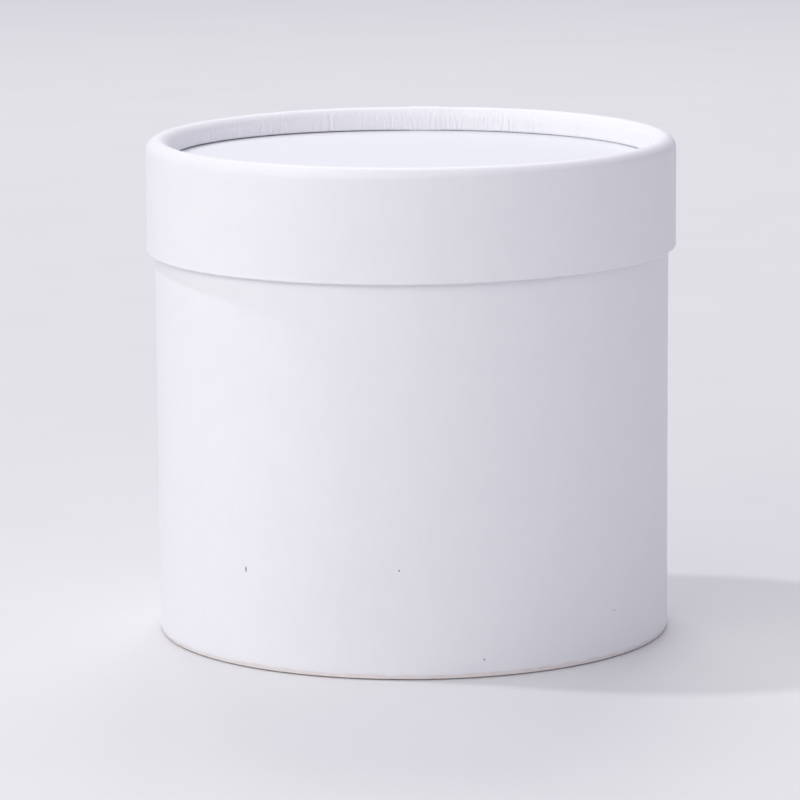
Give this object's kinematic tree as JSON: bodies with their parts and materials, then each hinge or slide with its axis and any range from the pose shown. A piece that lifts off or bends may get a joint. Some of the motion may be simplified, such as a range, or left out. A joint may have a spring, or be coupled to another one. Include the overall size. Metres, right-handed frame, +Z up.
{
  "type": "flower box",
  "caption": "Round rigid paperboard flower box, paper wrapped and film lined, with a slip-over lid whose rolled rim stands above a flat recessed top.",
  "frame": {"origin": "centre of the circle on which the foot stands, on the surface under the box", "axes": "+Z up along the axis of the box; the papers' overlap seams are at +Y, away from the front at -Y"},
  "size_m": [0.2, 0.2, 0.188],
  "materials": {
    "wrap_paper": "smooth matt white wrapping paper",
    "top_paper": "smooth matt white paper",
    "facing_paper": "plain white paper",
    "film_paper": "white paper with a satin waterproof film",
    "bare_board": "bare wound board, pale pinkish beige"
  },
  "bodies": {
    "box": {"body_tube": "bare_board", "body_wrap": "wrap_paper", "body_lining": "film_paper", "base_disc": "bare_board", "base_facing": "facing_paper", "base_lining": "film_paper"},
    "lid": {"lid_tube": "bare_board", "lid_wrap": "wrap_paper", "lid_lining": "facing_paper", "lid_disc": "bare_board", "lid_top_facing": "top_paper", "lid_under_facing": "facing_paper"}
  },
  "joints": [
    {"name": "lid_lift", "type": "slide", "parent": "box", "child": "lid", "axis": [0, 0, 1], "range_m": [0, 0.08]}
  ]
}
